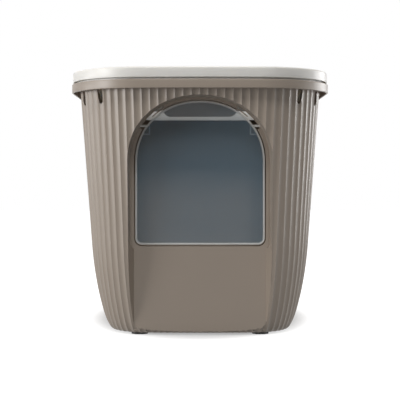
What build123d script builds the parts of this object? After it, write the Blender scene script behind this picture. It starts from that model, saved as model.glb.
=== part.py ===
from build123d import *
import os
from math import cos, radians, sin, sqrt, tan

# Covered cat litter box: a fluted tub with an arched front bay and a clear swing flap,
# and a lift-off lid with an entry opening in its dished top.
# Millimetres, +Z up, the flap on the -Y side, the origin on the floor under the box's middle.

# Plan of the rim: four slightly bowed sides joined by tangent corner arcs
rim_width = 391.0
rim_length = 572.0
rim_corner_radius = 113.0
end_bow_radius = 1430.0
side_bow_radius = 20000.0

# Rim: a downturned channel round the mouth
rim_top = 373.0
rim_depth = 13.0
rim_thickness = 2.6
rim_overhang = 12.0
rim_edge_chamfer = 0.8

# Wall: a straight draft from the rim, then a curl under to the base
wall_thickness = 3.4
floor_thickness = 3.5
draft_angle = 4.2
turn_height = 130.0
curl_inset = 23.0
curl_power = 1.8
corner_tightening = 0.885

curl_shares = (0.0, 0.05, 0.17, 0.43, 1.0)

# Flutes: hollow channels between sharp ridges, each with two slanting sides and a narrower bottom
flute_pitch = 12.1
flute_depth = 1.6
flute_side_share = 0.28

# Feet: rubber pads in shallow seats under the floor
foot_width = 24.0
foot_corner_cut = 6.0
foot_height = 4.0
foot_seat_depth = 1.0
foot_seat_clearance = 0.2
foot_spacing_x = 180.0
foot_edge_distance = 19.0

# Front bay: an arched recess with drafted sides, closed by a flat panel below the doorway
bay_depth = 60.0
bay_half_width = 97.4
bay_flare = 9.0
arch_centre_height = 248.5
sill_height = 131.0
sill_corner_radius = 12.0
rebate_width = 5.6
rebate_drop = 3.0
rebate_corner_radius = 7.0

# Baffle: a tab hung inside the doorway's crown from a short roof
baffle_thickness = 2.6
baffle_half_width = 56.0
baffle_setback = 30.0
baffle_drop = 23.7
baffle_corner_radius = 12.0

# Flap and its pivots
flap_side_gap = 1.7
flap_bottom_gap = 2.6
flap_thickness = 2.2
flap_setback = 0.4
flap_corner_radius = 10.0
flap_bead_width = 3.0
flap_bead_height = 1.3
pivot_drop = 36.9
pin_diameter = 4.0
pin_clearance = 0.08
pin_reach = 92.0
boss_wall = 1.6
boss_width = 10.0
boss_height = 17.0
boss_depth = 5.0
boss_drop = 13.0
pip_diameter = 3.0
pip_height = 0.8
pip_count = 5
pip_pitch_angle = 11.0
ear_thickness = 7.5
ear_depth = 14.0
ear_below_pin = 21.0
ear_above_pin = 8.0
notch_lip = 1.0
notch_lip_angle = 45.0
notch_width = 4.3
notch_start_angle = 30.0
notch_end_angle = 58.0

# Slots under the rim at each corner of the tub
slot_angles = (41.5, 69.0)
slot_top_width = 10.5
slot_bottom_width = 5.5
slot_height = 21.0
slot_shoulder = 3.0

# Lid: a skirt over the rim, a dished platform and a collar round the entry opening
lid_inset = 1.5
lid_gap = 2.7
lid_skirt = 15.3
lid_thickness = 2.6
lid_edge_slopes = ((4.2, 2.6), (1.6, 0.5))
dish_clearance = 1.5
dish_wall_slope = 4.0
dish_depth = 22.0
platform_fall = 8.0
platform_inset = 72.0
rest_rib_inset = 7.0
entry_width = 240.0
entry_length = 250.0
entry_corner_radius = 60.0
entry_offset = 19.0
collar_depth = 23.0
collar_thickness = 2.6

# How far cutters run past the faces they cut
overrun = 1.0
bay_overrun = 1.3

base_height = foot_height - foot_seat_depth
rim_bottom = rim_top - rim_depth
lid_top = rim_top + lid_gap + lid_skirt
platform_outer_height = lid_top - dish_depth
platform_inner_height = platform_outer_height - platform_fall
collar_bottom = platform_inner_height - collar_depth
pivot_height = arch_centre_height + bay_half_width - pivot_drop
door_y = bay_depth - rim_length / 2
flap_front_y = door_y + flap_setback
pivot_y = flap_front_y + flap_thickness / 2


def corner_radius(inset):
    """Plan corner radius of an outline that lies an inset inside the rim's outer face."""
    return rim_corner_radius - corner_tightening * inset


def bow_centres():
    """Centres of the arcs that the plan's right side and rear end follow."""
    side_x = rim_width / 2 - side_bow_radius
    end_y = rim_length / 2 - end_bow_radius
    return Vector(side_x, 0), Vector(0, end_y)


def corner_centre(inset, radius):
    """Centre of the first-quadrant corner arc, tangent to the side's bow and the end's bow."""
    side_centre, end_centre = bow_centres()
    reach_side = side_bow_radius - inset - radius
    reach_end = end_bow_radius - inset - radius
    between = end_centre - side_centre
    gap = between.length
    unit = between / gap
    along = (reach_side**2 - reach_end**2 + gap**2) / (2 * gap)
    across = sqrt(reach_side**2 - along**2)
    return side_centre + unit * along + Vector(-unit.Y, unit.X) * across


def plan_points(inset, radius):
    """First-quadrant points of the plan: the side's tangent, the corner's middle, the end's tangent."""
    side_centre, end_centre = bow_centres()
    centre = corner_centre(inset, radius)
    to_side = (centre - side_centre).normalized()
    to_end = (centre - end_centre).normalized()
    side_point = centre + to_side * radius
    end_point = centre + to_end * radius
    middle = centre + (to_side + to_end).normalized() * radius
    return side_point, middle, end_point


def plan(inset, radius, height):
    """Closed plan outline at a height, from the middle of the front round to it again."""
    side, middle, end = plan_points(inset, radius)
    half_w = rim_width / 2 - inset
    half_l = rim_length / 2 - inset
    front = Vector(0, -half_l)
    quarter_front = ((front + Vector(end.X, -end.Y)) / 2).X
    end_r = end_bow_radius - inset
    bow = end_r - sqrt(end_r**2 - quarter_front**2)
    stops = [
        front,
        Vector(quarter_front, -half_l + bow),
        Vector(end.X, -end.Y),
        Vector(middle.X, -middle.Y),
        Vector(side.X, -side.Y),
        Vector(half_w, 0),
        side,
        middle,
        end,
        Vector(0, half_l),
        Vector(-end.X, end.Y),
        Vector(-middle.X, middle.Y),
        Vector(-side.X, side.Y),
        Vector(-half_w, 0),
        Vector(-side.X, -side.Y),
        Vector(-middle.X, -middle.Y),
        Vector(-end.X, -end.Y),
        Vector(-quarter_front, -half_l + bow),
        front,
    ]
    lift = Vector(0, 0, height)
    stops = [stop + lift for stop in stops]
    arcs = [Edge.make_three_point_arc(*stops[i:i + 3]) for i in range(0, len(stops) - 2, 2)]
    return Wire(arcs)


def plate(inset, bottom, top, radius=None):
    """A flat slab with the plan outline, between two heights."""
    radius = corner_radius(inset) if radius is None else radius
    return Solid.extrude(Face(plan(inset, radius, bottom)), Vector(0, 0, top - bottom))


def wall_inset(height):
    """How far the wall's ridges lie inside the rim's outer face: a draft, then the curl under."""
    inset = rim_overhang + (rim_top - height) * tan(radians(draft_angle))
    if height < turn_height:
        share = (turn_height - height) / (turn_height - base_height)
        inset += curl_inset * (1 - (1 - share**curl_power) ** (1 / curl_power))
    return inset


def flute_count():
    """Even number of flutes, so that a ridge stands at the middle of both ends."""
    inset = wall_inset(rim_bottom)
    return 2 * round(plan(inset, corner_radius(inset), 0).length / flute_pitch / 2)


def fluted_outline(height, count):
    """Hollowed outline of the wall's outside at a height: three straight runs from ridge to ridge."""
    inset = wall_inset(height)
    smooth = plan(inset, corner_radius(inset), height)
    points = []
    for i in range(count):
        points.append(smooth.position_at(i / count))
        for share in (flute_side_share, 1 - flute_side_share):
            place = (i + share) / count
            along = smooth.tangent_at(place)
            points.append(smooth.position_at(place) + Vector(-along.Y, along.X) * flute_depth)
    return Wire.make_polygon(points)


def section_heights(bottom, top):
    """Heights of the loft's sections: close together in the curl, then one long drafted span."""
    curl = [bottom + share * (turn_height - bottom) for share in curl_shares]
    return curl + [top]


def fluted_body():
    """The tub's outside as one closed solid, from the base to the underside of the rim's land."""
    count = flute_count()
    heights = section_heights(base_height, rim_top - rim_thickness)
    return Solid.make_loft([fluted_outline(height, count) for height in heights], ruled=True)


def cavity():
    """The tub's inside as one closed solid, from the floor to the top of the rim, a flat to each flute."""
    count = flute_count()
    outlines = []
    for height in section_heights(base_height + floor_thickness, rim_top):
        inset = wall_inset(height) + wall_thickness
        smooth = plan(inset, corner_radius(inset), height)
        outlines.append(Wire.make_polygon([smooth.position_at(i / count) for i in range(count)]))
    return Solid.make_loft(outlines, ruled=True)


def arch(half_width, bottom, radius=0.0):
    """Doorway outline in the XZ plane: straight jambs under a half-round crown."""
    jamb = arch_centre_height - bottom
    outline = Pos(0, bottom + jamb / 2) * Rectangle(2 * half_width, jamb)
    if radius:
        feet = outline.vertices().group_by(Axis.Y)[0]
        outline = fillet(feet, radius)
    return outline + Pos(0, arch_centre_height) * Circle(half_width)


def upright(sketch, front_y, depth):
    """A sketch stood up in the XZ plane at front_y and extruded backwards."""
    stood = Plane(origin=(0, front_y, 0), x_dir=(1, 0, 0), z_dir=(0, -1, 0)) * sketch
    return extrude(stood, amount=depth, dir=(0, 1, 0))


def bay(growth):
    """The front recess, grown outwards and backwards by an amount, as a ruled loft to past the wall."""
    low, high = turn_height / 2, arch_centre_height + bay_half_width
    reach_low = door_y + rim_length / 2 - wall_inset(low)
    reach_high = door_y + rim_length / 2 - wall_inset(high)
    lean = (reach_high - reach_low) / (high - low)
    back_y = door_y + growth
    inner = Plane(origin=(0, back_y, 0), x_dir=(1, 0, 0), z_dir=(0, -1, 0))
    drop = (reach_low - lean * low) * bay_overrun
    tilt = Vector(0, -1, -lean * bay_overrun).normalized()
    outer = Plane(origin=(0, door_y - drop, 0), x_dir=(1, 0, 0), z_dir=tuple(tilt))
    inner_face = inner * arch(bay_half_width + growth, -base_height)
    outer_face = outer * arch(bay_half_width + growth + bay_flare * bay_overrun, -base_height)
    return loft([inner_face.face(), outer_face.face()], ruled=True)


def rebate(growth):
    """Straight-sided widening of the bay round the doorway, down to the door's plane; the door's
    frame shows as a flat ring in it."""
    half_width = bay_half_width + rebate_width + growth
    bottom = sill_height - rebate_drop - growth
    outline = arch(half_width, bottom, rebate_corner_radius + growth)
    return upright(outline, door_y - bay_depth, bay_depth + growth)


def doorway():
    """The opening behind the bay that the flap hangs in, as deep as the baffle's tab."""
    outline = arch(bay_half_width, sill_height, sill_corner_radius)
    return upright(outline, door_y - overrun, baffle_setback + overrun)


def ring_sector(inner, outer, start_angle, end_angle):
    """Part of a ring about the arch's centre, between two angles above the horizontal."""
    far = 2 * outer
    start, end = radians(start_angle), radians(end_angle)
    wedge = Polygon(
        (0, 0), (far * cos(start), far * sin(start)), (far * cos(end), far * sin(end)), align=None
    )
    return Pos(0, arch_centre_height) * ((Circle(outer) - Circle(inner)) & wedge)


def pivot_notches():
    """Curved slots through the door's frame: open to the doorway beside the pins, lipped above them."""
    outer = bay_half_width + notch_width
    opened = ring_sector(bay_half_width - overrun, outer, notch_start_angle, notch_lip_angle)
    lipped = ring_sector(bay_half_width + notch_lip, outer, notch_lip_angle, notch_end_angle)
    depth = wall_thickness + 2 * overrun
    right = [upright(sector, door_y - overrun, depth) for sector in (opened, lipped)]
    return right + [mirror(slot, about=Plane.YZ) for slot in right]


def baffle():
    """Block behind the doorway's crown: the doorway leaves its roof, and the tab at its back."""
    reach = bay_half_width + baffle_thickness
    top = arch_centre_height + reach
    bottom = arch_centre_height + bay_half_width - baffle_drop
    outline = Pos(0, top) * Rectangle(2 * baffle_half_width, 2 * (top - bottom))
    outline = fillet(outline.vertices().group_by(Axis.Y)[0], baffle_corner_radius)
    crown = Pos(0, arch_centre_height) * Circle(reach)
    depth = baffle_setback + baffle_thickness - wall_thickness / 2
    return upright(outline & crown, door_y + wall_thickness / 2, depth)


def ears():
    """Blocks behind the bay's wall that carry the flap's pins."""
    inner_x = sqrt((bay_half_width + notch_width) ** 2 - (pivot_height - arch_centre_height) ** 2)
    middle_z = pivot_height + (ear_above_pin - ear_below_pin) / 2
    ear = Box(ear_thickness, ear_depth, ear_below_pin + ear_above_pin)
    ear = Pos(inner_x + ear_thickness / 2, pivot_y, middle_z) * ear
    return [ear, mirror(ear, about=Plane.YZ)]


def pivot_bore():
    """Bore through both ears for the pins."""
    turn = Rot(0, 90, 0)
    return Pos(0, pivot_y, pivot_height) * turn * Cylinder(pin_diameter / 2 + pin_clearance, rim_width / 2)


def corner_slots():
    """Tapered slots through the wall right under the rim, turned to face out at each corner."""
    inset = wall_inset(rim_bottom)
    radius = corner_radius(inset)
    centre = corner_centre(inset, radius)
    profile = Polygon(
        (-slot_top_width / 2, rim_bottom),
        (slot_top_width / 2, rim_bottom),
        (slot_bottom_width - slot_top_width / 2, rim_bottom - slot_height),
        (-slot_top_width / 2, rim_bottom - slot_height + slot_shoulder),
        align=None,
    )
    cutter = upright(profile, -2 * wall_thickness, 4 * wall_thickness)
    slots = []
    for angle in slot_angles:
        turned = Rot(0, 0, angle) * Pos(0, -radius, 0) * cutter
        slots.append(Pos(centre.X, -centre.Y, 0) * turned)
    slots += [mirror(slot, about=Plane.YZ) for slot in slots]
    slots += [mirror(slot, about=Plane.XZ) for slot in slots]
    return slots


def foot_places():
    """Centres of the four feet, a fixed distance inside the base's front and rear edges."""
    half_y = rim_length / 2 - wall_inset(base_height) - foot_edge_distance
    half_x = foot_spacing_x / 2
    return {
        "foot_front_left": (-half_x, -half_y),
        "foot_front_right": (half_x, -half_y),
        "foot_rear_left": (-half_x, half_y),
        "foot_rear_right": (half_x, half_y),
    }


def flat_face(solid, height):
    """The solid's level face at a height."""
    return solid.faces().filter_by(Plane.XY).sort_by(lambda face: abs(face.center().Z - height))[0]


def shell_solid():
    """Wall, floor, bay and rim channel: outside, inside and rim stitched along their shared edges."""
    land_bottom = rim_top - rim_thickness
    outside = fluted_body().cut(bay(0), rebate(0))
    inside = cavity().cut(bay(wall_thickness), rebate(wall_thickness), baffle(), *ears())
    block = plate(0, rim_bottom, rim_top)
    outer_edges = block.edges().group_by(Axis.Z)[0] + block.edges().group_by(Axis.Z)[-1]
    hollow = plate(rim_thickness, rim_bottom - overrun, land_bottom)
    channel = chamfer(outer_edges, rim_edge_chamfer) - hollow
    wall_end = flat_face(outside, land_bottom)
    mouth = flat_face(inside, rim_top)
    land = flat_face(channel, rim_top)
    land_under = flat_face(channel, land_bottom)
    faces = outside.faces() + inside.faces() + channel.faces()
    kept = [face for face in faces if face not in (wall_end, mouth, land, land_under)]
    kept.append(Face(land.outer_wire(), [mouth.outer_wire()]))
    kept.append(Face(land_under.outer_wire(), [wall_end.outer_wire()]))
    return Solid(Shell(kept))


def tub():
    """The whole tub: the shell with its doorway, pivot notches and bores, slots and foot seats."""
    seat = foot_block(foot_width + 2 * foot_seat_clearance, 2 * foot_seat_depth)
    seats = [Pos(x, y, base_height) * seat for x, y in foot_places().values()]
    opened = shell_solid().cut(doorway())
    return opened.cut(*pivot_notches(), pivot_bore(), *corner_slots(), *seats)


def foot_block(width, height):
    """A square block with its upright corners cut off."""
    block = Box(width, width, height)
    return chamfer(block.edges().filter_by(Axis.Z), foot_corner_cut)


def foot(x, y):
    """One rubber pad."""
    return Pos(x, y, foot_height / 2) * foot_block(foot_width, foot_height)


def flap():
    """Clear arched plate with an edge bead, two hollow pivot bosses with pins, and stop pips."""
    half = bay_half_width - flap_side_gap
    bottom = sill_height + flap_bottom_gap
    outline = arch(half, bottom, flap_corner_radius)
    inner = arch(half - flap_bead_width, bottom + flap_bead_width, flap_corner_radius - flap_bead_width)
    back_y = flap_front_y + flap_thickness
    body = upright(outline, flap_front_y, flap_thickness)
    body += upright(outline - inner, back_y, flap_bead_height)
    edge_x = sqrt(half**2 - (pivot_height - arch_centre_height) ** 2)
    boss = Pos(edge_x + boss_wall, pivot_height - boss_drop + boss_height / 2) * Rectangle(
        2 * boss_width, boss_height
    )
    pocket = Pos(edge_x + boss_wall, pivot_height - boss_drop + boss_height / 2) * Rectangle(
        2 * (boss_width - boss_wall), boss_height - 2 * boss_wall
    )
    hollow_boss = upright((boss - pocket) & outline, back_y, boss_depth)
    pin_inner_x = edge_x - boss_width / 2
    pin_length = pin_reach - pin_inner_x
    pin = Pos(pin_inner_x + pin_length / 2, pivot_y, pivot_height) * Rot(0, 90, 0) * Cylinder(
        pin_diameter / 2, pin_length
    )
    side_parts = hollow_boss + pin
    body += side_parts + mirror(side_parts, about=Plane.YZ)
    for i in range(pip_count):
        angle = radians(90 + (i - (pip_count - 1) / 2) * pip_pitch_angle)
        reach = half - flap_bead_width / 2
        place = Pos(reach * cos(angle), arch_centre_height + reach * sin(angle))
        body += upright(place * Circle(pip_diameter / 2), back_y + flap_bead_height, pip_height)
    return body


def sloped(slab, run, rise):
    """A slab whose sides slope in at the bottom, by a run over a rise."""
    bottom = slab.faces().sort_by(Axis.Z)[0]
    return chamfer(bottom.edges(), run, rise, reference=bottom)


def dish(drop, top):
    """The lid's sunk top as a solid: a sloped ring wall, then a shallow funnel to a level floor."""
    mouth_inset = wall_inset(rim_top) + wall_thickness + dish_clearance + lid_thickness - drop
    foot_inset = mouth_inset + dish_wall_slope
    outer_z = platform_outer_height - drop
    inner_z = platform_inner_height - drop
    well = plate(mouth_inset, outer_z, top)
    well = sloped(well, dish_wall_slope, lid_top - lid_thickness - platform_outer_height)
    funnel = plate(foot_inset, inner_z, outer_z + overrun)
    return well + sloped(funnel, platform_inset - foot_inset, outer_z - inner_z)


def entry_outline(growth):
    """Rounded entry opening in the XY plane, grown outwards by an amount."""
    return Pos(0, entry_offset) * RectangleRounded(
        entry_width + 2 * growth, entry_length + 2 * growth, entry_corner_radius + growth
    )


def lid():
    """Lid: skirt and land, dished platform, rest rib, and a collar round the entry."""
    skirt_bottom = rim_top + lid_gap
    block = plate(lid_inset, skirt_bottom, lid_top)
    for run, rise in lid_edge_slopes:
        top = block.faces().sort_by(Axis.Z)[-1]
        block = chamfer(top.edges(), run, rise, reference=top)
    block -= plate(lid_inset + lid_thickness, skirt_bottom - overrun, lid_top - lid_thickness)
    rib = plate(rest_rib_inset, rim_top, lid_top - lid_thickness / 2)
    rib -= plate(rest_rib_inset + lid_thickness, rim_top - overrun, lid_top)
    collar = extrude(entry_outline(collar_thickness), amount=platform_inner_height - collar_bottom)
    body = block + rib + dish(lid_thickness, lid_top - overrun) + Pos(0, 0, collar_bottom) * collar
    body -= dish(0, lid_top + overrun)
    tall = lid_top - collar_bottom
    body -= Pos(0, 0, collar_bottom - overrun) * extrude(entry_outline(0), amount=tall)
    return body


os.makedirs("parts", exist_ok=True)
nodes = {"tub": tub(), "flap": flap(), "lid": lid()}
for name, (x, y) in foot_places().items():
    nodes[name] = foot(x, y)
for name, shape in nodes.items():
    export_step(shape, f"parts/{name}.step")
    print(name, round(shape.volume / 1000, 1), "cm3", len(shape.faces()), "faces")
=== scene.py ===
import math

import bmesh
import bpy
import numpy as np
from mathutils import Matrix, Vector


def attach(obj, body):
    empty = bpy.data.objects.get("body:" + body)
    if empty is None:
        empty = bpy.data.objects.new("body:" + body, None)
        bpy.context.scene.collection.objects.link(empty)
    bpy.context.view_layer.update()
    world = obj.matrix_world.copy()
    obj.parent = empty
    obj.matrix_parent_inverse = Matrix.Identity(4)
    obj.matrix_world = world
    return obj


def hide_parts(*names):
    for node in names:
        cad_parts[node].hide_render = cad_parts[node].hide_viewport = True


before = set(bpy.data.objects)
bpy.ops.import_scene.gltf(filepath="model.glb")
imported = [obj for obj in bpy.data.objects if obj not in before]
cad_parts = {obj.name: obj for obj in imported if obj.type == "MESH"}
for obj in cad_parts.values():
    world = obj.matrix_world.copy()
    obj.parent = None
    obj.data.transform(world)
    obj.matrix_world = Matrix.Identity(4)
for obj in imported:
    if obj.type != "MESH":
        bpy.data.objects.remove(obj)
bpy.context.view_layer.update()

# Sizes of the litter box in millimetres, as in the CAD: +Z up, the flap on the -Y side
rim_width = 390.8
rim_length = 572.0
rim_corner_radius = 113.0
end_bow_radius = 1430.0
side_bow_radius = 20000.0
rim_top = 373.0
rim_bottom = 360.0
rim_thickness = 2.6
rim_overhang = 12.0
wall_thickness = 3.4
floor_thickness = 3.5
base_height = 3.0
draft_slope = math.tan(math.radians(4.2))
turn_height = 130.0
curl_inset = 23.0
curl_power = 1.8
corner_tightening = 0.885
flute_count = 136
flute_depth = 1.8
bay_depth = 60.0
bay_half_width = 97.4
bay_flare = 9.0
door_y = bay_depth - rim_length / 2
arch_centre = 256.2
crown_power = 2.1
crown_flattening = 5.8
mouth_flattening = 5.2
sill_height = 131.0
sill_corner = 12.0
panel_back_half_width = 110.0
frame_width = 5.6
frame_foot = 128.0
frame_corner = 7.0
frame_lip = 0.8
notch_turns = (30.0, 45.0, 58.0)
notch_lip = 1.4
notch_reach = 4.4
baffle_half_width = 56.0
baffle_y = door_y + 30.0
baffle_thickness = 2.6
baffle_bottom = 324.2
baffle_corner = 12.0
slot_turns = (41.5, 69.0)
slot_half_width = 5.25
slot_bottom_width = 5.5
slot_height = 21.0
slot_shoulder = 3.0
slot_overrun = 1.5
pivot_height = 309.0
pivot_y = door_y + 1.5
ear_below = 21.0
ear_above = 8.0
ear_width = 7.5
ear_depth = 7.0
lip_reach = 14.6
lid_top = 391.0
lid_bottom = 375.7
lid_inset = 1.5
lid_thickness = 2.6
lid_edge = 2.4
dish_gap = 1.5
dish_edge = 2.0
rest_rib_inset = 7.0
platform_outer_height = 369.0
platform_inner_height = 361.0
platform_inset = 72.0
entry_half_width = 120.0
entry_half_length = 125.0
entry_corner = 60.0
entry_offset = 19.0
collar_bottom = 338.0
flap_half_width = bay_half_width - 1.7
flap_bottom = sill_height + 2.6
flap_corner = 10.0
flap_front = door_y + 0.4
flap_back = door_y + 2.6
flap_bead_back = door_y + 3.9
bead_width = 3.0
bead_front_margin = 2.2
boss_in = 74.0
boss_below = 13.0
boss_above = 4.0
boss_wall = 1.6
boss_depth = 5.0
pin_radius = 2.0
pin_reach = 92.0
pip_count = 5
pip_step = 11.0
pip_radius = 1.5
MM = 0.001

# Fineness of the meshes: columns round the plan, columns across a flute, and the height over
# which the wall's rows lie closer together for the corner slots
plain_columns = 528
flute_columns = 6
close_rows_from = 338.0
around = np.arange(plain_columns) / plain_columns

# Surfaces that share no edges stand this far apart, so that their points are not merged
skin_gap = 0.01

# More than any width here: stands for all of it
far = 99.0


# ---------------------------------------------------------------- plan and wall

side_x = rim_width / 2 - side_bow_radius
end_y = rim_length / 2 - end_bow_radius


def plan_terms(inset):
    """Corner arc at an inset: centre, radius, and the turns where it meets the side and the end.
    Its centre is where a circle about the side's bow centre crosses one about the end's."""
    radius = rim_corner_radius - corner_tightening * inset
    reach_side = side_bow_radius - inset - radius
    reach_end = end_bow_radius - inset - radius
    gap = math.hypot(side_x, end_y)
    unit_x, unit_y = -side_x / gap, end_y / gap
    along = (reach_side**2 - reach_end**2 + gap**2) / (2 * gap)
    across = np.sqrt(reach_side**2 - along**2)
    centre_x = side_x + unit_x * along - unit_y * across
    centre_y = unit_y * along + unit_x * across
    turn_side = np.arctan2(centre_y, centre_x - side_x)
    turn_end = np.arctan2(centre_y - end_y, centre_x)
    return centre_x, centre_y, radius, turn_side, turn_end


def plan_curve(share, inset):
    """Plan at shares of its length, anticlockwise from the front's middle: x, y and outward turn.
    Nine tangent arcs in a row; each place is its arc's centre plus the radius at the turn reached."""
    share, inset = np.broadcast_arrays(np.asarray(share, float), np.asarray(inset, float))
    cx, cy, radius, low, high = plan_terms(inset)
    side = side_bow_radius - inset
    end = end_bow_radius - inset
    none = np.zeros_like(inset)
    half = math.pi / 2
    arcs = [
        (none, -end_y, end, none - half, -high),
        (cx, -cy, radius, -high, -low),
        (side_x, none, side, -low, low),
        (cx, cy, radius, low, high),
        (none, end_y, end, high, 2 * half - high),
        (-cx, cy, radius, 2 * half - high, 2 * half - low),
        (-side_x, none, side, 2 * half - low, 2 * half + low),
        (-cx, -cy, radius, 2 * half + low, 2 * half + high),
        (none, -end_y, end, 2 * half + high, none + 3 * half),
    ]
    length = sum(r * (stop - start) for _, _, r, start, stop in arcs)
    travel = (share % 1.0) * length
    passed = np.zeros_like(inset)
    x, y, turn = np.zeros_like(inset), np.zeros_like(inset), np.zeros_like(inset)
    for ox, oy, r, start, stop in arcs:
        on = travel >= passed
        here = start + (travel - passed) / r
        x = np.where(on, ox + r * np.cos(here), x)
        y = np.where(on, oy + r * np.sin(here), y)
        turn = np.where(on, here, turn)
        passed = passed + r * (stop - start)
    return x, y, turn


def wall_inset(z):
    """Inset of the wall's ridges at a height: a straight draft, plus a superellipse curl below."""
    share = np.clip((turn_height - z) / (turn_height - base_height), 0, 1)
    curl = curl_inset * (1 - (1 - share**curl_power) ** (1 / curl_power))
    return rim_overhang + (rim_top - z) * draft_slope + curl


def outer_wall(share, z):
    """Outside of the tub: the plan at the wall's inset, moved inwards by a parabola in each flute."""
    x, y, turn = plan_curve(share, wall_inset(z))
    across = (share * flute_count) % 1.0
    dip = flute_depth * 4 * across * (1 - across)
    return np.stack([x - np.cos(turn) * dip, y - np.sin(turn) * dip, z + 0 * x], -1)


def inner_wall(share, z):
    """Inside of the tub: the plan one wall thickness inside the ridges, without flutes."""
    low = base_height + floor_thickness
    shifted = base_height + (z - low) * (turn_height - base_height) / (turn_height - low)
    x, y, _ = plan_curve(share, wall_inset(np.where(z < turn_height, shifted, z)) + wall_thickness)
    return np.stack([x, y, z + 0 * x], -1)


# ---------------------------------------------------------------- bay and openings

reach_low = bay_depth - float(wall_inset(turn_height / 2))
reach_high = bay_depth - float(wall_inset(arch_centre + bay_half_width))
lean = (reach_high - reach_low) / (arch_centre + bay_half_width - turn_height / 2)


def bay_share(point, growth):
    """How far out of the door's plane a place lies, as a share of the bay's depth at its height."""
    depth = reach_low + lean * (point[..., 2] - turn_height / 2)
    return (door_y + growth - point[..., 1]) / depth


def crown_height(half_width, share=0.0):
    """Rise of an arch's crown over its springing: less than a half round, and less again at the mouth."""
    return half_width - crown_flattening - mouth_flattening * share


def bay_keep(point, growth):
    """Positive where the wall stays: outside the flared arch, or behind the door's plane.
    The crown is a superellipse; the value is the half width past the arch at the place's share."""
    share = bay_share(point, growth)
    half = np.maximum(bay_half_width + growth + bay_flare * share, 1.0)
    above = np.maximum(point[..., 2] - arch_centre, 0) / crown_height(half, share)
    across = np.abs(point[..., 0]) / half
    reach = (across**crown_power + above**crown_power) ** (1 / crown_power)
    return np.maximum((reach - 1) * half, point[..., 1] - door_y - growth)


def slot_local(point, turn):
    """Place in a corner slot's own frame, folded into one quarter: across, and out from the corner."""
    cx, cy, _, _, _ = plan_terms(np.float64(wall_inset(rim_bottom)))
    x, y = np.abs(point[..., 0]) - cx, np.abs(point[..., 1]) - cy
    s, c = math.sin(turn), math.cos(turn)
    return x * c - y * s, x * s + y * c


def slot_keep(point, turn):
    """Positive outside a corner slot: the largest distance past the sides of its tapered outline."""
    across, out = slot_local(point, turn)
    z = point[..., 2]
    bottom = rim_bottom - slot_height
    slant = 2 * slot_half_width - slot_bottom_width
    run = math.hypot(slant, slot_height)
    past_outer = ((across - slot_half_width) * slot_height - (z - rim_bottom) * slant) / run
    from_shoulder = slot_bottom_width - slot_half_width - across
    past_bottom = bottom - z + slot_shoulder / slot_bottom_width * from_shoulder
    sides = np.maximum(-slot_half_width - across, past_outer)
    ends = np.maximum(past_bottom, z - rim_bottom - slot_overrun)
    return np.where(out > 0, np.maximum(sides, ends), far)


# ---------------------------------------------------------------- meshes

def grid_faces(rows, cols, wrap):
    """Quads between neighbours of a grid whose columns run anticlockwise and rows run upwards."""
    row = np.arange(rows - 1)[:, None] * cols
    col = np.arange(cols if wrap else cols - 1)[None, :]
    after = (col + 1) % cols
    return np.stack([row + col, row + after, row + cols + after, row + cols + col], -1).reshape(-1, 4)


class Shell:
    """Points and faces of one piece, gathered surface by surface."""

    def __init__(self):
        self.points, self.quads, self.others, self.size = [], [], [], 0

    def add(self, points, quads=None, others=(), flip=False):
        """Points with faces that count from 0; flip turns the faces over."""
        points = np.asarray(points, float).reshape(-1, 3)
        if quads is not None and len(quads):
            quads = np.asarray(quads)
            self.quads.append((quads[:, ::-1] if flip else quads) + self.size)
        for face in others:
            face = np.asarray(face)
            self.others.append((face[::-1] if flip else face) + self.size)
        self.points.append(points)
        self.size += len(points)

    def grid(self, points, wrap=False, flip=False):
        """Rows and columns of points; wrap joins the last column to the first."""
        rows, cols = points.shape[:2]
        self.add(points, grid_faces(rows, cols, wrap), flip=flip)

    def prism(self, outline, front, back):
        """A flat outline, anticlockwise seen from the front, between two depths along Y."""
        count = len(outline)
        ends = [np.stack([outline[:, 0], np.full(count, y), outline[:, 1]], -1) for y in (front, back)]
        ring = np.arange(count)
        after = (ring + 1) % count
        sides = np.stack([ring, ring + count, after + count, after], -1)
        self.add(np.concatenate(ends), sides, [ring, ring[::-1] + count])

    def piece(self, name, sharp=32.0, weld=0.004):
        """The finished mesh object: doubles merged, smooth, with sharp edges past an angle."""
        points = np.concatenate(self.points) * MM
        quads = np.concatenate(self.quads) if self.quads else np.zeros((0, 4), int)
        loops = np.concatenate([quads.ravel(), *self.others]).astype(np.int32)
        totals = np.array([4] * len(quads) + [len(face) for face in self.others], np.int32)
        starts = np.concatenate([[0], np.cumsum(totals)[:-1]]).astype(np.int32)
        mesh = bpy.data.meshes.new(name)
        mesh.vertices.add(len(points))
        mesh.vertices.foreach_set("co", points.astype(np.float32).ravel())
        mesh.loops.add(len(loops))
        mesh.loops.foreach_set("vertex_index", loops)
        mesh.polygons.add(len(totals))
        mesh.polygons.foreach_set("loop_start", starts)
        mesh.polygons.foreach_set("loop_total", totals)
        mesh.update(calc_edges=True)
        mesh.validate()
        tidy(mesh, weld * MM)
        mesh.polygons.foreach_set("use_smooth", np.ones(len(mesh.polygons), bool))
        mesh.set_sharp_from_angle(angle=math.radians(sharp))
        made = bpy.data.objects.new(name, mesh)
        bpy.context.scene.collection.objects.link(made)
        return made


def tidy(mesh, distance):
    """Merges doubles and drops the faces and loose points that this leaves empty."""
    work = bmesh.new()
    work.from_mesh(mesh)
    bmesh.ops.remove_doubles(work, verts=work.verts, dist=distance)
    loose = [v for v in work.verts if not v.link_faces]
    bmesh.ops.delete(work, geom=loose, context="VERTS")
    work.to_mesh(mesh)
    work.free()


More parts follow.
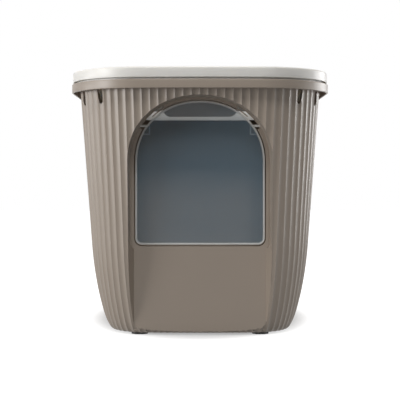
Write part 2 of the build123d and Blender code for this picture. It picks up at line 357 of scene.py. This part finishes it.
def trimmed(across, along, place, keep):
    """A grid round the plan, cut back to where keep is positive. A corner near the edge slides along
    its grid line onto it, by the share at which keep crosses zero, and at most to half way; quads
    with one lost corner become triangles. Shares of the plan wrap at 1."""
    none, half_way, most = 2.0, 0.5, 0.7
    value = keep(place(across, along))
    best = np.full(value.shape, none)
    shift_a, shift_b = np.zeros_like(across), np.zeros_like(along)
    for axis, step in ((0, 1), (0, -1), (1, 1), (1, -1)):
        other = np.roll(value, -step, axis)
        gap_a, gap_b = np.roll(across, -step, axis) - across, np.roll(along, -step, axis) - along
        gap_a -= np.round(gap_a)
        crossing = value * other < 0
        if axis == 0:
            crossing[-1 if step == 1 else 0] = False
        move = np.where(crossing, value / np.where(crossing, value - other, 1), none)
        closer = (move <= half_way) & (move < best)
        best = np.where(closer, move, best)
        shift_a, shift_b = np.where(closer, gap_a, shift_a), np.where(closer, gap_b, shift_b)
    slid = best <= half_way
    move = np.where(slid, best, 0.0)
    for _ in range(3):
        slope = value - keep(place(across + move * shift_a, along + move * shift_b))
        usable = slid & (np.abs(slope) > 1e-6)
        better = move * value / np.where(usable, slope, 1)
        move = np.where(usable, np.clip(better, 0, most), move)
    points = place(across + move * shift_a, along + move * shift_b)
    lost = (value < 0) & ~slid
    quads = grid_faces(*value.shape, True)
    gone = lost.ravel()[quads]
    whole = quads[~gone.any(1)]
    single = quads[gone.sum(1) == 1]
    corner = gone[gone.sum(1) == 1].argmax(1)
    order = (corner[:, None] + np.arange(1, 4)) % 4
    triangles = np.take_along_axis(single, order, 1)
    return points, whole, triangles, slid


def add_trimmed(shell, across, along, place, keep, flip=False):
    """Adds a trimmed grid to a shell and gives back the points that lie on its cut edges."""
    points, quads, triangles, slid = trimmed(across, along, place, keep)
    shell.add(points, quads, triangles, flip=flip)
    return points[slid]


# ---------------------------------------------------------------- outlines in the door's plane

def crown(turn, half_width, share=0.0):
    """Superellipse crown at a turn from the right springing to the left one: x and z."""
    c, n = np.cos(turn), np.sin(turn)
    x = half_width * np.sign(c) * np.abs(c) ** (2 / crown_power)
    return x, arch_centre + crown_height(half_width, share) * np.abs(n) ** (2 / crown_power)


def crown_x(z, half_width):
    """Half width of an arch at heights over its springing."""
    above = np.clip((z - arch_centre) / crown_height(half_width), 0, 1)
    return half_width * (1 - above**crown_power) ** (1 / crown_power)


def arch_outline(half_width, bottom, corner, count, steps=()):
    """Arch from the bottom's middle anticlockwise seen from the front: foot corner arc, jamb, crown,
    and the same mirrored. Steps of (start, stop, growth) in degrees send the crown out and back."""
    quarter = np.linspace(-math.pi / 2, 0, 10)
    foot_x = half_width - corner + corner * np.cos(quarter)
    foot_z = bottom + corner + corner * np.sin(quarter)
    jamb_z = np.linspace(bottom + corner, arch_centre, count // 3)[1:-1]
    runs = [np.stack([np.concatenate([[0], foot_x, np.full(len(jamb_z), half_width)]),
                      np.concatenate([[bottom], foot_z, jamb_z])], -1)]
    for start, stop, growth in steps or ((0, 90, 0.0),):
        turn = np.radians(np.linspace(start, stop, max(3, int(count * abs(stop - start) / 90))))
        runs.append(np.stack(crown(turn, half_width + growth), -1))
    right = np.concatenate(runs)
    left = right[1:-1][::-1] * (-1, 1)
    return np.concatenate([right, left])


def raised(outline, y):
    """A flat outline of x and z stood at a depth."""
    return np.stack([outline[:, 0], np.full(len(outline), y), outline[:, 1]], -1)


def rounded(centre_x, centre_z, radius, start, stop, count):
    """Points of an arc between two turns in degrees."""
    turn = np.radians(np.linspace(start, stop, count))
    return np.stack([centre_x + radius * np.cos(turn), centre_z + radius * np.sin(turn)], -1)


def swept(profile, columns):
    """A profile of (inset, height) carried round the plan; one column for each share."""
    inset, z = profile[:, 0][:, None], profile[:, 1][:, None]
    x, y, _ = plan_curve(columns[None, :], inset)
    return np.stack([x, y, z + 0 * x], -1)


# ---------------------------------------------------------------- tub

def arch_travel(point, growth):
    """Travel round the bay's arch from the right foot over the crown to the left foot: the height
    over the springing on a jamb, and the crown's turn times its half width."""
    share = bay_share(point, growth)
    half = bay_half_width + growth + bay_flare * share
    x = np.abs(point[..., 0]) / half
    above = np.maximum(point[..., 2] - arch_centre, 0) / crown_height(half, share)
    turn = np.arctan2(above ** (crown_power / 2), x ** (crown_power / 2))
    turn = np.where(point[..., 0] < 0, math.pi - turn, turn)
    low = point[..., 2] - arch_centre
    jamb = np.where(point[..., 0] > 0, low, bay_half_width * math.pi - low)
    return np.where(low >= 0, bay_half_width * turn, jamb)


def arch_place(travel, half_width):
    """Place on an arch at a travel: the right jamb, the crown, then the left jamb; x and z."""
    turn = np.clip(travel / bay_half_width, 0, math.pi)
    x, z = crown(turn, half_width)
    over = np.minimum(travel, bay_half_width * math.pi - travel)
    return x, z + np.minimum(over, 0)


def frame_extra(travel, growth):
    """Width that the door's frame adds to the bay at a travel: all of it down to a rounded foot."""
    over = np.minimum(travel, bay_half_width * math.pi - travel)
    radius = frame_corner + growth
    rise = arch_centre + over - frame_foot + growth
    short = np.clip(radius - rise, 0, radius)
    extra = frame_width - radius + np.sqrt(radius**2 - short**2)
    return np.where(rise > 0, np.clip(extra, 0, frame_width), 0.0)


def bay_sides(shell, edge, growth, flip):
    """One skin of the bay's side: the door's frame, its step forwards, then the flare out to the
    wall's cut edge. Columns follow the edge's own points and stop exactly at the pivot slots' ends."""
    plane = door_y + growth
    hair, near = 0.02, 0.3
    edge = edge[(edge[:, 1] < plane - hair) & (np.abs(bay_keep(edge, growth)) < near)]
    travel = arch_travel(edge, growth)
    order = np.argsort(travel)
    edge, travel = edge[order], travel[order]
    turns = np.radians(notch_turns) * bay_half_width
    foot = frame_foot - growth + (frame_corner + growth) * (1 - np.cos(np.linspace(0, math.pi / 2, 9)))
    extra = np.concatenate([turns, foot - arch_centre])
    columns = np.concatenate([travel, extra, bay_half_width * math.pi - extra])
    columns = np.sort(columns[(columns >= travel[0]) & (columns <= travel[-1])])
    columns = columns[np.concatenate([[True], np.diff(columns) > hair])]
    mouth = np.stack([np.interp(columns, travel, edge[:, k]) for k in range(3)], -1)
    inner_x, inner_z = arch_place(columns, bay_half_width + growth)
    gain = np.hypot(mouth[:, 0] - inner_x, mouth[:, 2] - inner_z)
    width = np.minimum(frame_extra(columns, growth), np.maximum(gain - frame_lip, 0))
    rows = []
    for reach in (0.0, notch_lip, notch_reach, far):
        x, z = arch_place(columns, bay_half_width + np.minimum(reach, growth + width))
        rows.append(np.stack([x, np.full_like(x, plane), z], -1))
    share = np.where(gain > 0.01, width / np.maximum(gain, 0.01), 0.0)[:, None]
    inner = np.stack([inner_x, np.full_like(inner_x, plane), inner_z], -1)
    step = inner + (mouth - inner) * share
    for k in (0.35, 0.7, 1.0):
        rows.append(rows[3] + (step - rows[3]) * k)
    for k in (0.2, 0.4, 0.6, 0.8, 1.0):
        rows.append(step + (mouth - step) * k)
    rows = np.array(rows)
    quads = grid_faces(rows.shape[0], rows.shape[1], False)
    middle = np.degrees((columns[1:] + columns[:-1]) / 2 / bay_half_width)
    middle = np.minimum(middle, 180 - middle)
    opened = (middle > notch_turns[0]) & (middle < notch_turns[1])
    lipped = (middle > notch_turns[1]) & (middle < notch_turns[2])
    gone = np.zeros((rows.shape[0] - 1, len(middle)), bool)
    gone[0], gone[1] = opened, opened | lipped
    shell.add(rows, quads[~gone.ravel()], flip=flip)


def panel(shell, y, bottom_edge, flip):
    """The panel under the doorway: columns across, each from the foot straight up to the sill, which
    is level between two corner arcs. It stands a hair off the door's frame."""
    half = bay_half_width
    flat = half - sill_corner
    across = np.concatenate([
        -half + sill_corner * (1 - np.cos(np.linspace(0, math.pi / 2, 12))),
        np.linspace(-flat, flat, 41)[1:-1],
        half - sill_corner * (1 - np.cos(np.linspace(math.pi / 2, 0, 12))),
    ])
    over = np.maximum(np.abs(across) - flat, 0)
    top = sill_height + sill_corner - np.sqrt(sill_corner**2 - over**2)
    low = np.interp(across, bottom_edge[:, 0], bottom_edge[:, 1])
    rise = np.linspace(0, 1, 12)[:, None]
    z = low + (top - low) * rise
    face = y + (skin_gap if flip else -skin_gap)
    shell.grid(np.stack([across + 0 * z, np.full_like(z, face), z], -1), flip=flip)


def door_ring(shell):
    """The doorway's own thickness with its pivot slots, and the roof and tab behind its crown."""
    start, lip, stop = notch_turns
    path = ((0, start, 0.0), (start, stop, notch_reach), (stop, lip, notch_lip), (lip, 90, 0.0))
    opening = arch_outline(bay_half_width, sill_height, sill_corner, 120, path)
    back = door_y + wall_thickness
    shell.grid(np.array([raised(opening, door_y), raised(opening, back)]), wrap=True)
    reach = bay_half_width + baffle_thickness
    edge = math.acos((baffle_half_width / reach) ** (crown_power / 2))
    turn = np.linspace(edge, math.pi - edge, 50)
    for half, flip in ((bay_half_width, False), (reach, True)):
        roof = np.stack(crown(turn, half), -1)
        shell.grid(np.array([raised(roof, back), raised(roof, baffle_y)]), flip=flip)
    top = np.stack(crown(turn, reach), -1)
    inner_x, inner_z = baffle_half_width - baffle_corner, baffle_bottom + baffle_corner
    left = rounded(-inner_x, inner_z, baffle_corner, 180, 270, 10)
    right = rounded(inner_x, inner_z, baffle_corner, 270, 360, 10)
    shell.prism(np.concatenate([top, left, right]), baffle_y, baffle_y + baffle_thickness)


def pivot_ears(shell):
    """Blocks behind the door's frame that carry the pins: outline bounded by the doorway's crown."""
    low, high = pivot_height - ear_below, pivot_height + ear_above
    z = np.linspace(low, high, 12)
    bound = crown_x(z, bay_half_width + notch_reach)
    outer = bound[0] + ear_width
    face = np.concatenate([np.stack([bound, z], -1)[::-1], [[outer, low], [outer, high]]])
    for outline in (face, (face * (-1, 1))[::-1]):
        shell.prism(outline, door_y + wall_thickness, pivot_y + ear_depth)


def slot_tunnels(shell, edge):
    """Sides of the corner slots: the wall's cut edge, in order of turn round the slot's middle,
    joined to its copy one wall thickness inside."""
    middle_across, middle_height = -1.5, rim_bottom - slot_height / 2
    spread_across, tunnel, on_edge = 9.0, wall_thickness + 0.4, 0.35
    for degrees in slot_turns:
        turn = math.radians(degrees)
        near = edge[np.abs(slot_keep(edge, turn)) < on_edge]
        for sx, sy in ((1, 1), (1, -1), (-1, 1), (-1, -1)):
            hole = near[(near[:, 0] * sx > 0) & (near[:, 1] * sy > 0)]
            across, _ = slot_local(hole, turn)
            rise = (hole[:, 2] - middle_height) / slot_height
            hole = hole[np.argsort(np.arctan2(rise, (across - middle_across) / spread_across))]
            inward = np.array([-sx * math.sin(turn), -sy * math.cos(turn), 0.0]) * tunnel
            shell.grid(np.array([hole, hole + inward]), wrap=True, flip=sx * sy > 0)


def wall_keep(point, growth):
    """Positive where a skin of the tub stays: the least of the bay's value and the slots' values."""
    keep = bay_keep(point, growth)
    for degrees in slot_turns:
        keep = np.minimum(keep, slot_keep(point, math.radians(degrees)))
    return keep


def keep_outside(point):
    return wall_keep(point, 0.0)


def keep_inside(point):
    return wall_keep(point, wall_thickness)


def curl_rows(low, count):
    """Heights down the curl, spaced by equal turns of its superellipse."""
    turn = np.linspace(math.pi / 2, 0, count)
    return turn_height - (turn_height - low) * np.sin(turn) ** (2 / curl_power)


def wall_rows(low, high, curl, even, close):
    """Heights of a skin's rows: on the curl, then in even steps, then in closer ones at the slots."""
    return np.concatenate([
        curl_rows(low, curl),
        np.linspace(turn_height, close_rows_from, even)[1:],
        np.linspace(close_rows_from, high, close)[1:],
    ])


def floor_disc(shell, ring, flip=False):
    """A level floor: the ring, the ring at half size, and its middle."""
    shell.grid(np.array([ring * (0, 0, 1), ring * (0.5, 0.5, 1), ring]), wrap=True, flip=flip)


def build_tub():
    """Tub: fluted outside, floor, bay, rim channel, inside and doorway, gathered in one shell."""
    shell = Shell()
    columns = np.arange(flute_count * flute_columns) / (flute_count * flute_columns)
    land = rim_top - rim_thickness
    across, along = np.meshgrid(columns, wall_rows(base_height, land, 20, 44, 18))
    edge = add_trimmed(shell, across, along, outer_wall, keep_outside)
    floor_disc(shell, outer_wall(columns, np.full(len(columns), base_height)))
    slot_tunnels(shell, edge)
    bay_sides(shell, edge, 0.0, flip=True)
    near_foot, on_door = edge[:, 2] < 30, np.abs(edge[:, 1] - door_y) < 0.3
    foot = edge[near_foot & on_door & (np.abs(edge[:, 0]) < bay_half_width + 1)]
    foot = foot[np.argsort(foot[:, 0])][:, [0, 2]]
    panel(shell, door_y, foot, flip=False)

    top_inset = float(wall_inset(rim_top)) + wall_thickness
    outer_edge, inner_edge, bend, burr = 1.0, 0.6, 0.5, 0.3
    lip = np.concatenate([
        [[lip_reach, land]],
        rounded(rim_thickness + bend, land - bend, bend, 90, 180, 4),
        [[rim_thickness, rim_bottom + burr], [rim_thickness - burr, rim_bottom]],
        rounded(outer_edge, rim_bottom + outer_edge, outer_edge, 270, 180, 6),
        rounded(outer_edge, rim_top - outer_edge, outer_edge, 180, 90, 6),
        [[top_inset - inner_edge, rim_top], [top_inset, rim_top - inner_edge]],
    ])
    shell.grid(swept(lip, around), wrap=True)

    inner_floor = base_height + floor_thickness
    across, along = np.meshgrid(around, wall_rows(inner_floor, rim_top - inner_edge, 13, 27, 9))
    edge = add_trimmed(shell, across, along, inner_wall, keep_inside, flip=True)
    floor_disc(shell, inner_wall(around, np.full(plain_columns, inner_floor)), flip=True)
    bay_sides(shell, edge, wall_thickness, flip=False)
    foot = np.array([[-panel_back_half_width, inner_floor], [panel_back_half_width, inner_floor]])
    panel(shell, door_y + wall_thickness, foot, flip=True)
    door_ring(shell)
    pivot_ears(shell)
    return shell.piece("tub_shell", sharp=30)


# ---------------------------------------------------------------- lid

def entry_outline(share, growth):
    """Rounded entry opening at shares of its length, from its front's middle anticlockwise."""
    flat_x, flat_y = entry_half_width - entry_corner, entry_half_length - entry_corner
    radius = entry_corner + growth
    quarter = radius * math.pi / 2
    runs = [flat_x, quarter, 2 * flat_y, quarter, 2 * flat_x, quarter, 2 * flat_y, quarter, flat_x]
    travel = (share % 1.0) * sum(runs)
    corners = [(flat_x, -flat_y), (flat_x, flat_y), (-flat_x, flat_y), (-flat_x, -flat_y)]
    x, y = travel.copy(), np.full_like(travel, -flat_y - radius)
    passed = runs[0]
    for k, (cx, cy) in enumerate(corners):
        start = -math.pi / 2 + k * math.pi / 2
        on = travel >= passed
        here = start + np.clip((travel - passed) / radius, 0, math.pi / 2)
        beyond = np.maximum(travel - passed - quarter, 0)
        stop = start + math.pi / 2
        x = np.where(on, cx + radius * np.cos(here) - beyond * math.sin(stop), x)
        y = np.where(on, cy + radius * np.sin(here) + beyond * math.cos(stop), y)
        passed = passed + quarter + runs[2 * k + 2]
    return x, y + entry_offset


def entry_rows(shares, profile):
    """A profile of (growth, height) carried round the entry opening."""
    rows = []
    for growth, z in profile:
        x, y = entry_outline(shares, growth)
        rows.append(np.stack([x, y, np.full_like(x, z)], -1))
    return rows


def build_lid():
    """Lid: one closed skin, carried as profiles of (inset, height) round the plan from the skirt over
    the land and down the dish, then round the entry down the collar and up, and back underneath."""
    shell = Shell()
    t, foot, burr = lid_thickness, 0.6, 0.3
    skirt = lid_inset + t
    mouth = float(wall_inset(rim_top)) + wall_thickness + dish_gap + t
    dish, ledge, land = platform_outer_height, platform_inner_height, lid_top - t
    outside = np.concatenate([
        [[skirt, lid_bottom + burr], [skirt - burr, lid_bottom]],
        rounded(lid_inset + foot, lid_bottom + foot, foot, 270, 180, 4),
        rounded(lid_inset + lid_edge, lid_top - lid_edge, lid_edge, 180, 90, 8),
        rounded(mouth - dish_edge, lid_top - dish_edge, dish_edge, 90, 10, 8),
        [[mouth + 3.2, dish + 3.2], [mouth + 3.6, dish + 1.4]],
        [[mouth + 4.6, dish + 0.2], [mouth + 6.5, dish - 0.4], [platform_inset, ledge]],
    ])
    over = swept(outside, around)
    shell.grid(over, wrap=True)
    collar = entry_rows(around, [
        (4, ledge), (2.4, ledge - 0.3), (1.0, ledge - 1.2), (0.25, ledge - 2.6), (0, ledge - 4.2),
        (0, collar_bottom + 0.8), (0.25, collar_bottom + 0.2), (0.8, collar_bottom),
        (t - 0.8, collar_bottom), (t - 0.2, collar_bottom + 0.25), (t, collar_bottom + 0.8),
        (t, ledge - 3.6), (t + 1.0, ledge - t),
    ])
    under = swept(np.array([
        [platform_inset, ledge - t], [mouth + 1.4, dish - t], [mouth - t, land],
        [rest_rib_inset + t, land], [rest_rib_inset + t, rim_top],
        [rest_rib_inset, rim_top], [rest_rib_inset, land], [rest_rib_inset - 1, land],
        [skirt, land - 2], [skirt, lid_bottom + burr],
    ]), around)
    shell.grid(np.array([over[-1], (over[-1] + collar[0]) / 2, *collar, under[0]]), wrap=True)
    shell.grid(under, wrap=True)
    return shell.piece("lid_shell", sharp=38)


# ---------------------------------------------------------------- flap

def build_flap():
    """Clear flap: one arch outline, stepped inwards by an inset and backwards by a depth round the
    section of its edge bead, and closed by a flat face in front and behind."""
    shell = Shell()
    front, bead = flap_front, flap_bead_back
    edge, cut = 0.5, 0.15
    steps = [(bead_front_margin, front), (edge, front), (cut, front + cut), (0, front + edge),
             (0, bead - edge), (cut, bead - cut), (edge, bead), (bead_width - edge, bead),
             (bead_width - cut, bead - cut), (bead_width, bead - edge), (bead_width, flap_back)]
    rings = [raised(arch_outline(flap_half_width - d, flap_bottom + d, flap_corner - d, 60), y)
             for d, y in steps]
    shell.grid(np.array(rings), wrap=True, flip=True)
    ring = np.arange(len(rings[0]))
    shell.add(rings[0], others=[ring])
    shell.add(rings[-1], others=[ring[::-1]])
    return shell.piece("flap_plate", sharp=40, weld=0.001)


def cylinder(shell, centre, radius, start, stop, axis, bevel=0.3):
    """A round bar along X or Y between two places, with small rounded ends and closed caps."""
    ring = np.arange(24)
    turn = 2 * math.pi * ring / len(ring)
    narrow = radius - bevel
    rings = []
    for r, along in ((narrow, start), (radius, start + bevel), (radius, stop - bevel), (narrow, stop)):
        a, b, level = r * np.cos(turn), r * np.sin(turn), np.full(len(ring), along)
        if axis == "x":
            rings.append(np.stack([level, centre[0] + a, centre[1] + b], -1))
        else:
            rings.append(np.stack([centre[0] - a, level, centre[1] + b], -1))
    shell.grid(np.array(rings), wrap=True)
    shell.add(rings[0], others=[ring[::-1]])
    shell.add(rings[-1], others=[ring])


def build_flap_fittings():
    """Hollow pivot bosses, pins and stop pips. A boss is two outlines, each bounded outwards by the
    flap's own arch at a margin, joined round its open end."""
    shell = Shell()
    outlines = []
    for wall, margin in ((boss_wall, 1.5), (0.0, 0.1)):
        low, high = pivot_height - boss_below + wall, pivot_height + boss_above - wall
        z = np.linspace(low, high, 14)
        bound = np.stack([crown_x(z, flap_half_width) - margin, z], -1)
        outlines.append(np.concatenate([[[boss_in + wall, low]], bound, [[boss_in + wall, high]]]))
    inner, outer = outlines
    end = flap_back + boss_depth
    for side in (1, -1):
        rings = [raised(outline * (side, 1), y) for outline, y in
                 ((inner, flap_back), (inner, end), (outer, end), (outer, flap_back))]
        shell.grid(np.array(rings), wrap=True, flip=side < 0)
        start, stop = sorted((side * (boss_in + 3), side * pin_reach))
        cylinder(shell, (pivot_y, pivot_height), pin_radius, start, stop, "x")
    for k in range(pip_count):
        turn = math.radians(90 + (k - pip_count // 2) * pip_step)
        x, z = crown(turn, flap_half_width - pip_radius)
        cylinder(shell, (float(x), float(z)), pip_radius, flap_back + 0.9, flap_back + 2.1, "y")
    return shell.piece("flap_fittings", sharp=40)


# ---------------------------------------------------------------- materials

def node_tree(material):
    """A material's nodes, links and shader."""
    material.use_nodes = True
    nodes, links = material.node_tree.nodes, material.node_tree.links
    return nodes, links, nodes["Principled BSDF"]


def math_node(nodes, operation):
    """A new node for one sum."""
    node = nodes.new("ShaderNodeMath")
    node.operation = operation
    return node


def moulded_group():
    """Moulded plastic skin: slow tone drift, a fine grain in the surface, and gloss that drifts with it."""
    group = bpy.data.node_groups.new("moulded_skin", "ShaderNodeTree")
    face = group.interface
    number, colour, direction = "NodeSocketFloat", "NodeSocketColor", "NodeSocketVector"
    for name, kind, start in (
        ("Color", colour, (0.5, 0.5, 0.5, 1)),
        ("Drift", number, 0.05),
        ("Gloss", number, 0.4),
        ("Grain Scale", number, 1500.0),
        ("Grain Depth", number, 0.1),
    ):
        face.new_socket(name=name, in_out="INPUT", socket_type=kind).default_value = start
    for name, kind in (("Color", colour), ("Roughness", number), ("Normal", direction)):
        face.new_socket(name=name, in_out="OUTPUT", socket_type=kind)
    nodes, links = group.nodes, group.links
    given, out = nodes.new("NodeGroupInput"), nodes.new("NodeGroupOutput")
    place = nodes.new("ShaderNodeTexCoord")
    slow, grain = nodes.new("ShaderNodeTexNoise"), nodes.new("ShaderNodeTexNoise")
    slow.inputs["Scale"].default_value = 9.0
    slow.inputs["Detail"].default_value = 3.0
    grain.inputs["Detail"].default_value = 2.0
    for noise in (slow, grain):
        links.new(place.outputs["Object"], noise.inputs["Vector"])
    links.new(given.outputs["Grain Scale"], grain.inputs["Scale"])
    signed = math_node(nodes, "SUBTRACT")
    signed.inputs[1].default_value = 0.5
    links.new(slow.outputs["Fac"], signed.inputs[0])
    drift = math_node(nodes, "MULTIPLY_ADD")
    drift.inputs[2].default_value = 1.0
    links.new(signed.outputs[0], drift.inputs[0])
    links.new(given.outputs["Drift"], drift.inputs[1])
    tone = nodes.new("ShaderNodeHueSaturation")
    links.new(given.outputs["Color"], tone.inputs["Color"])
    links.new(drift.outputs[0], tone.inputs["Value"])
    links.new(tone.outputs["Color"], out.inputs["Color"])
    rough = math_node(nodes, "MULTIPLY_ADD")
    rough.inputs[1].default_value = 0.12
    links.new(signed.outputs[0], rough.inputs[0])
    links.new(given.outputs["Gloss"], rough.inputs[2])
    links.new(rough.outputs[0], out.inputs["Roughness"])
    bump = nodes.new("ShaderNodeBump")
    bump.inputs["Distance"].default_value = 0.0001
    links.new(grain.outputs["Fac"], bump.inputs["Height"])
    links.new(given.outputs["Grain Depth"], bump.inputs["Strength"])
    links.new(bump.outputs["Normal"], out.inputs["Normal"])
    return group


def moulded(name, color, drift, gloss, grain_scale, grain_depth):
    """A plastic or rubber finish on the shared moulded skin."""
    material = bpy.data.materials.new(name)
    nodes, links, shader = node_tree(material)
    skin = nodes.new("ShaderNodeGroup")
    skin.node_tree = moulded_skin
    for socket, value in (("Color", (*color, 1)), ("Drift", drift), ("Gloss", gloss),
                          ("Grain Scale", grain_scale), ("Grain Depth", grain_depth)):
        skin.inputs[socket].default_value = value
    for given, taken in (("Color", "Base Color"), ("Roughness", "Roughness"), ("Normal", "Normal")):
        links.new(skin.outputs[given], shader.inputs[taken])
    return material


moulded_skin = moulded_group()
taupe = moulded("taupe_plastic_finish", (0.29, 0.24, 0.195), 0.06, 0.36, 1400, 0.12)
white = moulded("white_plastic_finish", (0.76, 0.74, 0.70), 0.02, 0.34, 1400, 0.08)
rubber = moulded("foot_rubber_finish", (0.03, 0.03, 0.03), 0.2, 0.7, 900, 0.3)
# The whitish, half-opaque colour of the flap's bead, bosses, pins and pips is a painted highlight for the
# light these clear edges catch
edge_highlight_paint = moulded("clear_edge_painted_highlight", (0.80, 0.80, 0.78), 0.02, 0.3, 60, 0.0)
# The flap's bluish colour, seen at low alpha, is a painted reflection of dim bluish surroundings laid over
# the clear sheet
clear = moulded("clear_plastic_painted_reflection", (0.21, 0.36, 0.48), 0.05, 0.08, 60, 0.0)
for finish, socket, value in (
    (white, "Subsurface Weight", 0.35),
    (white, "Subsurface Radius", (1.0, 0.95, 0.85)),
    (white, "Subsurface Scale", 0.006),
    (edge_highlight_paint, "Alpha", 0.6),
    (clear, "Alpha", 0.17),
    (clear, "IOR", 1.49),
):
    finish.node_tree.nodes["Principled BSDF"].inputs[socket].default_value = value

# ---------------------------------------------------------------- pieces on their bodies

flap_plate = build_flap()
for piece, body, node, slot, finishes in (
    (build_tub(), "tub", "tub", "taupe_plastic", (taupe,)),
    (build_lid(), "lid", "lid", "white_plastic", (white,)),
    (flap_plate, "flap", "flap", "clear_plastic", (clear, edge_highlight_paint)),
    (build_flap_fittings(), "flap", "flap", "clear_plastic", (edge_highlight_paint,)),
):
    for finish in finishes:
        piece.data.materials.append(finish)
    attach(piece, body)
    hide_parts(node)

# The flap's two flat faces are clear; the four-cornered faces of its bead carry the whitish painted
# highlight for the light its edges catch
for face in flap_plate.data.polygons:
    face.material_index = int(len(face.vertices) == 4)
for name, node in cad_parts.items():
    if name.startswith("foot_"):
        for place in node.material_slots:
            place.material = rubber

# ---------------------------------------------------------------- floor, light and camera

def soft_lamp(name, place, aim, width, height, power):
    """A rectangular soft lamp at a place, facing an aim."""
    lamp = bpy.data.lights.new(name, "AREA")
    lamp.shape = "RECTANGLE"
    lamp.size, lamp.size_y, lamp.energy = width, height, power
    stand = bpy.data.objects.new(name, lamp)
    bpy.context.scene.collection.objects.link(stand)
    stand.location = place
    direction = Vector(aim) - Vector(place)
    stand.rotation_euler = direction.to_track_quat("-Z", "Y").to_euler()


def seen_factor(nodes, links):
    """A factor that is 1 for rays from the camera and for those seen in gloss or through glass."""
    path = nodes.new("ShaderNodeLightPath")
    either, seen = math_node(nodes, "MAXIMUM"), math_node(nodes, "MAXIMUM")
    links.new(path.outputs["Is Camera Ray"], either.inputs[0])
    links.new(path.outputs["Is Transmission Ray"], either.inputs[1])
    links.new(either.outputs[0], seen.inputs[0])
    links.new(path.outputs["Is Glossy Ray"], seen.inputs[1])
    return seen


world = bpy.data.worlds.new("studio")
bpy.context.scene.world = world
world.use_nodes = True
nodes, links = world.node_tree.nodes, world.node_tree.links
light = nodes["Background"]
light.inputs["Color"].default_value = (1, 1, 1, 1)
light.inputs["Strength"].default_value = 0.03
shown = nodes.new("ShaderNodeBackground")
shown.inputs["Color"].default_value = (1, 1, 1, 1)
mix = nodes.new("ShaderNodeMixShader")
seen = seen_factor(nodes, links)
links.new(seen.outputs[0], mix.inputs[0])
links.new(light.outputs[0], mix.inputs[1])
links.new(shown.outputs[0], mix.inputs[2])
links.new(mix.outputs[0], nodes["World Output"].inputs["Surface"])

floor_half = 6.0
floor_corners = [(x * floor_half, y * floor_half, 0) for x, y in ((-1, -1), (1, -1), (1, 1), (-1, 1))]
floor_mesh = bpy.data.meshes.new("floor")
floor_mesh.from_pydata(floor_corners, [], [(0, 1, 2, 3)])
floor = bpy.data.objects.new("floor", floor_mesh)
bpy.context.scene.collection.objects.link(floor)
floor_finish = bpy.data.materials.new("floor_finish")
nodes, links, shader = node_tree(floor_finish)
shader.inputs["Base Color"].default_value = (0.35, 0.35, 0.35, 1)
shader.inputs["Roughness"].default_value = 0.8
shader.inputs["Emission Color"].default_value = (1, 1, 1, 1)
seen = seen_factor(nodes, links)

# The floor's glow rises smoothly from the box's base outwards, by the distance from the middle
# over an ellipse of these half axes, so that the shadow under the base stays
glow_half_width, glow_half_length = 0.16, 0.25
place = nodes.new("ShaderNodeTexCoord")
spread = nodes.new("ShaderNodeVectorMath")
spread.operation = "MULTIPLY"
spread.inputs[1].default_value = (1 / glow_half_width, 1 / glow_half_length, 1)
links.new(place.outputs["Object"], spread.inputs[0])
away = nodes.new("ShaderNodeVectorMath")
away.operation = "LENGTH"
links.new(spread.outputs["Vector"], away.inputs[0])
fade = nodes.new("ShaderNodeMapRange")
fade.interpolation_type = "SMOOTHSTEP"
for socket, value in (("From Min", 0.9), ("From Max", 1.25), ("To Min", 0.4), ("To Max", 1.0)):
    fade.inputs[socket].default_value = value
links.new(away.outputs["Value"], fade.inputs["Value"])
glow = math_node(nodes, "MULTIPLY")
links.new(fade.outputs["Result"], glow.inputs[1])
links.new(seen.outputs[0], glow.inputs[0])
links.new(glow.outputs[0], shader.inputs["Emission Strength"])
floor_mesh.materials.append(floor_finish)

soft_lamp("front_left", (-2.1, -1.2, 0.6), (0, -0.15, 0.2), 0.8, 0.8, 25)
soft_lamp("side_left", (-2.3, -0.2, 0.35), (0, -0.1, 0.15), 0.9, 0.7, 11)
soft_lamp("front_high", (0, -1.5, 2.0), (0, -0.2, 0.25), 0.8, 0.8, 20)
soft_lamp("back_right", (2.0, 1.0, 0.4), (0, 0, 0.15), 1.4, 1.0, 25)
soft_lamp("side_right", (2.2, -0.3, 0.35), (0, 0, 0.15), 0.6, 0.7, 3)
soft_lamp("top", (0, -0.5, 2.3), (0, 0.05, 0.2), 0.8, 0.8, 16)

camera_data = bpy.data.cameras.new("camera")
camera_data.lens = 93.9
camera_data.sensor_width = 36
camera_data.shift_y = -0.05
camera = bpy.data.objects.new("camera", camera_data)
bpy.context.scene.collection.objects.link(camera)
camera.location = (0, -1.766, 0.229)
camera.rotation_euler = (math.pi / 2, 0, 0)
bpy.context.scene.camera = camera
bpy.context.scene.view_settings.view_transform = "Standard"
